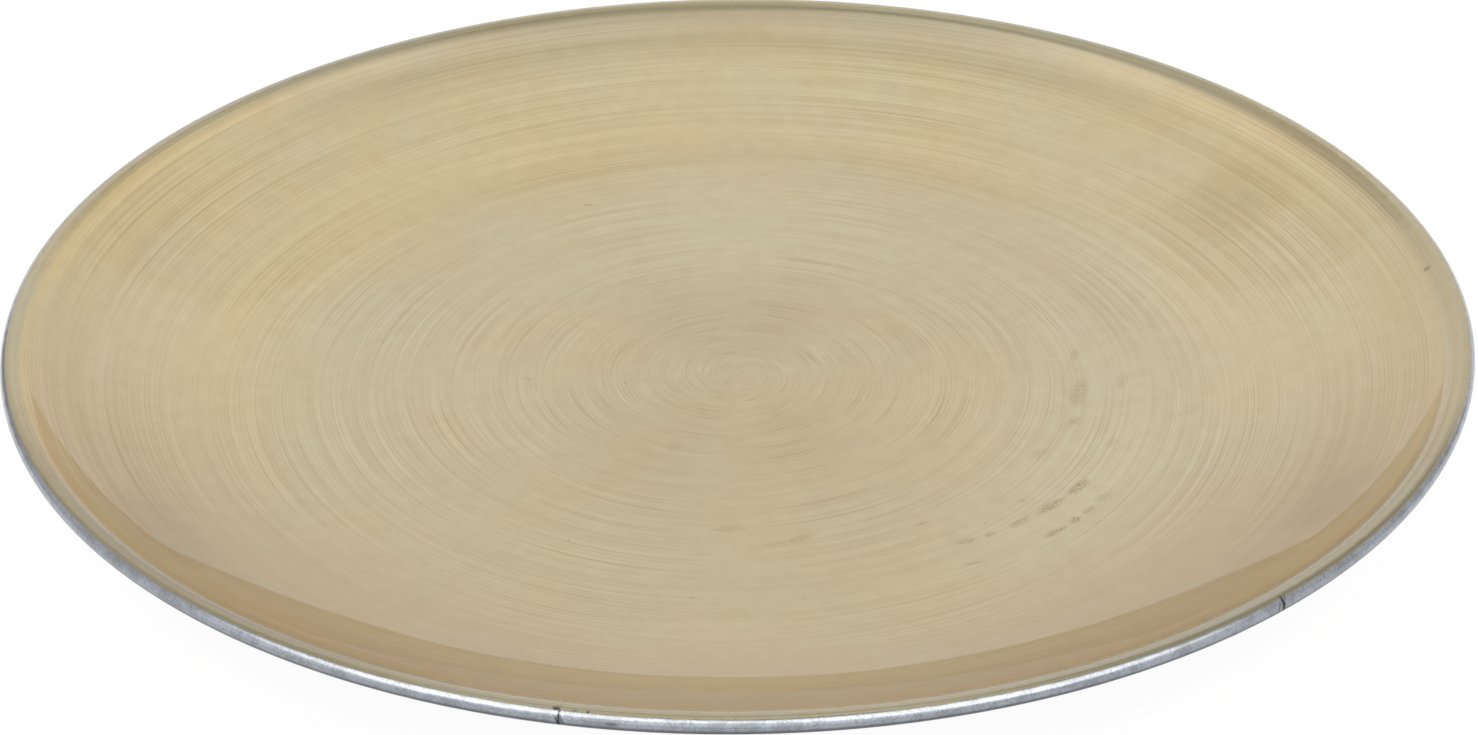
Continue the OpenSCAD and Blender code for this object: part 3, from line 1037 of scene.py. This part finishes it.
class CHARGER_OT_leaf(bpy.types.Operator):
    """Lay the strips of silver leaf over the edge, with torn ends and open joints"""

    bl_idname = "charger.leaf"
    bl_label = "Leafed Edge"

    def execute(self, context):
        settings = plate(context)
        section = Section(settings.sizes)
        material = leafed_edge(settings.leaf, settings.face, section)
        spans = [strip_span(node) for node in LEAF_NODES]
        gaps = joint_gaps(spans, settings.sizes.radius)
        for number, node in enumerate(LEAF_NODES):
            ends = gaps[number - 1], gaps[number]
            self.lay(settings.leaf, section, node, number, spans[number], ends, material)
        return {"FINISHED"}

    def lay(self, settings, section, node, number, span, gaps, material):
        """One strip: a thin closed shell over the crest and the round, as long as its node.

        Its points lie on a ring, over the leaf's outside and back along its inside, at each direction.
        """
        sizes = section.sizes
        outer = np.linspace(-sizes.border_lean, LEAF_WRAP, EDGE_STEPS)
        ring = np.concatenate([outer, outer[::-1]])
        height = np.concatenate([np.full(EDGE_STEPS, sizes.leaf_t), np.zeros(EDGE_STEPS)])
        count = int((span[1] - span[0]) * sizes.radius / STRIP_STEP)
        begin = span[0] - torn(ring, gaps[0], 2 * number) / sizes.radius
        end = span[1] + torn(ring, gaps[1], 2 * number + 1) / sizes.radius
        azimuth = begin + (end - begin) * np.linspace(0, 1, count)[:, None]
        along = azimuth * sizes.radius
        turns = ring + 0 * along
        lift = np.where(height > 0, creased(settings, along, turns, CREASE_SEED + number), 0.0)
        line = section.edge_line(turns, height + lift)
        r, z = line[..., 0], line[..., 1]
        points = np.stack([r * np.cos(azimuth), r * np.sin(azimuth), z], -1)
        side = 2 * EDGE_STEPS
        quads = grid_faces(count, side, closed=True)[:, ::-1]
        i = np.arange(EDGE_STEPS - 1)
        cap = np.stack([i, i + 1, side - 2 - i, side - 1 - i], -1)
        last_row = (count - 1) * side
        quads = np.concatenate([quads, cap[:, ::-1], cap + last_row])[:, ::-1]
        name, triangles = "leaf_strip_" + node.rsplit("_", 1)[1], np.empty((0, 3), int)
        piece = make_piece(name, points.reshape(-1, 3), quads, triangles, [node], material)
        self.describe(piece, section, along, turns, gaps)

    def describe(self, piece, section, along, turns, gaps):
        """Writes each point's place on the edge as a UV map in metres, and how far and wide its joint is."""
        mesh = piece.data
        index = np.empty(len(mesh.loops), np.int32)
        mesh.loops.foreach_get("vertex_index", index)
        place = np.stack([along, turns * section.leaf_r], -1).reshape(-1, 2)
        layer = mesh.uv_layers.new(name="round the edge")
        layer.uv.foreach_set("vector", place[index].astype(np.float32).ravel())
        from_begin, from_end = along - along[:1], along[-1:] - along
        nearer = np.where(from_begin < from_end, gaps[0], gaps[1])
        values = {"from joint": np.minimum(from_begin, from_end), "joint gap": nearer}
        for name, value in values.items():
            attribute = mesh.attributes.new(name, "FLOAT", "POINT")
            attribute.data.foreach_set("value", value.ravel().astype(np.float32))


class CHARGER_OT_stage(bpy.types.Operator):
    """Set the paper floor and backdrop, the room's light and the camera"""

    bl_idname = "charger.stage"
    bl_label = "Studio"

    def execute(self, context):
        settings = plate(context).studio
        set_paper(settings)
        set_room(context, settings)
        set_camera(context, settings, plate(context).sizes.floor_z)
        context.scene.view_settings.view_transform = "Standard"
        return {"FINISHED"}


# The paper: half of the floor's side, the radius and steps of the backdrop's sweep, and its height over the
# floor
FLOOR_HALF, SWEEP_R, SWEEP_STEPS, BACKDROP_LIFT = 6.0, 0.4, 24, 0.5 * MM


def stage_sheet(name, points, rows, columns, material):
    """A sheet of paper on the stage, from a grid of points."""
    mesh = bpy.data.meshes.new(name)
    mesh.from_pydata(points.tolist(), [], grid_faces(rows, columns).tolist())
    mesh.polygons.foreach_set("use_smooth", [True] * len(mesh.polygons))
    mesh.materials.append(material)
    sheet = bpy.data.objects.new(name, mesh)
    bpy.context.scene.collection.objects.link(sheet)
    return sheet


def set_paper(settings):
    """A wide floor, and behind the plate a backdrop that curves up from it in a quarter circle."""
    corners = np.array([[x, y, 0.0] for x in (-FLOOR_HALF, FLOOR_HALF) for y in (-FLOOR_HALF, FLOOR_HALF)])
    material = paper(settings, "floor paper", settings.floor_glow, settings.floor_mirrored)
    stage_sheet("floor", corners, 2, 2, material)
    angle = np.linspace(0, math.pi / 2, SWEEP_STEPS)
    start = settings.backdrop_y - SWEEP_R
    y = np.append(start + SWEEP_R * np.sin(angle), settings.backdrop_y)
    z = np.append(SWEEP_R * (1 - np.cos(angle)), settings.backdrop_top) + BACKDROP_LIFT
    sides = (-settings.backdrop_left, settings.backdrop_right)
    points = np.array([[x, b, c] for x in sides for b, c in zip(y, z)])
    material = paper(settings, "backdrop paper", settings.backdrop_glow, settings.backdrop_mirrored)
    stage_sheet("backdrop", points, 2, len(y), material)


# Soft lights of the room: direction, counter-clockwise from +X, and height in degrees, half widths in
# degrees of the bright core and of the whole with its soft border, and the radiance that it adds. Where
# that is less than nothing, a part of the room is darker than the rest.
GLOWS = (
    (217.0, 57.0, 14.0, 34.0, 1.85),
    (317.0, 53.0, 14.0, 34.0, 1.85),
    (267.0, 40.0, 20.0, 54.0, 0.65),
    (262.0, -20.0, 60.0, 105.0, 0.5),
    (0.0, 30.0, 15.0, 58.0, 0.5),
    (180.0, 30.0, 15.0, 58.0, 0.5),
    (90.0, 62.0, 6.0, 20.0, 0.45),
    (137.0, 52.0, 5.0, 20.0, -0.22),
    (43.0, 52.0, 5.0, 20.0, -0.22),
)


def set_room(context, settings):
    """The room as light from far away: an even dimness, plus smooth steps of the cosine from each light."""
    world = bpy.data.worlds.new("room")
    world.use_nodes = True
    nodes = Nodes(world.node_tree)
    look = nodes.node("ShaderNodeTexCoord").outputs["Generated"]
    total = settings.room
    for direction, height, core, whole, glow in GLOWS:
        a, e = math.radians(direction), math.radians(height)
        axis = (math.cos(a) * math.cos(e), math.sin(a) * math.cos(e), math.sin(e))
        both = nodes.node("ShaderNodeVectorMath", {0: look, 1: axis}, operation="DOT_PRODUCT")
        near = both.outputs["Value"]
        added = nodes.ease(near, math.cos(math.radians(whole)), math.cos(math.radians(core)), 0.0, glow)
        total = nodes.plus(total, added)
    back = nodes.node("ShaderNodeBackground", {"Color": settings.light, "Strength": total})
    nodes.node("ShaderNodeOutputWorld", {"Surface": back.outputs[0]})
    context.scene.world = world


def set_camera(context, settings, floor_z):
    """The camera of the photograph: it looks at the floor's middle, rolled a little, and its frame is moved.

    Its focal length in pixels over the picture's width is its lens over its sensor's width.
    """
    data = bpy.data.cameras.new("camera")
    data.sensor_fit = "HORIZONTAL"
    data.lens = settings.focal_px * data.sensor_width / settings.photo_w_px
    data.shift_x = (settings.photo_w_px / 2 - settings.aim_x_px) / settings.photo_w_px
    data.shift_y = (settings.aim_y_px - settings.photo_h_px / 2) / settings.photo_w_px
    camera = bpy.data.objects.new("camera", data)
    context.scene.collection.objects.link(camera)
    e = settings.elevation
    back = Vector((0.0, -math.cos(e), math.sin(e)))
    up = Vector((0.0, math.sin(e), math.cos(e)))
    turn = Matrix((Vector((1.0, 0.0, 0.0)), up, back)).transposed()
    camera.matrix_world = (
        Matrix.Translation(Vector((0.0, 0.0, floor_z)) + settings.distance * back)
        @ turn.to_4x4()
        @ Matrix.Rotation(settings.roll, 4, "Z")
    )
    context.scene.camera = camera


class CHARGER_PT_panel(bpy.types.Panel):
    """Steps that build the plate and its picture"""

    bl_idname = "CHARGER_PT_panel"
    bl_label = "Charger Plate"
    bl_space_type = "VIEW_3D"
    bl_region_type = "UI"
    bl_category = "Charger Plate"

    def draw(self, context):
        for step in STEPS:
            self.layout.operator(step.bl_idname)


STEPS = (CHARGER_OT_body, CHARGER_OT_face, CHARGER_OT_leaf, CHARGER_OT_stage)
GROUPS = (PlateSizes, FaceFinish, LeafFinish, BodyFinish, StudioSettings, ChargerPlate)
CLASSES = (*GROUPS, *STEPS, CHARGER_PT_panel)


def register():
    for cls in CLASSES:
        bpy.utils.register_class(cls)
    bpy.types.Scene.charger_plate = PointerProperty(type=ChargerPlate)


def unregister():
    del bpy.types.Scene.charger_plate
    for cls in reversed(CLASSES):
        bpy.utils.unregister_class(cls)


def main():
    """Builds the plate and its picture."""
    register()
    bpy.ops.charger.body()
    bpy.ops.charger.face()
    bpy.ops.charger.leaf()
    bpy.ops.charger.stage()


if __name__ == "__main__":
    main()
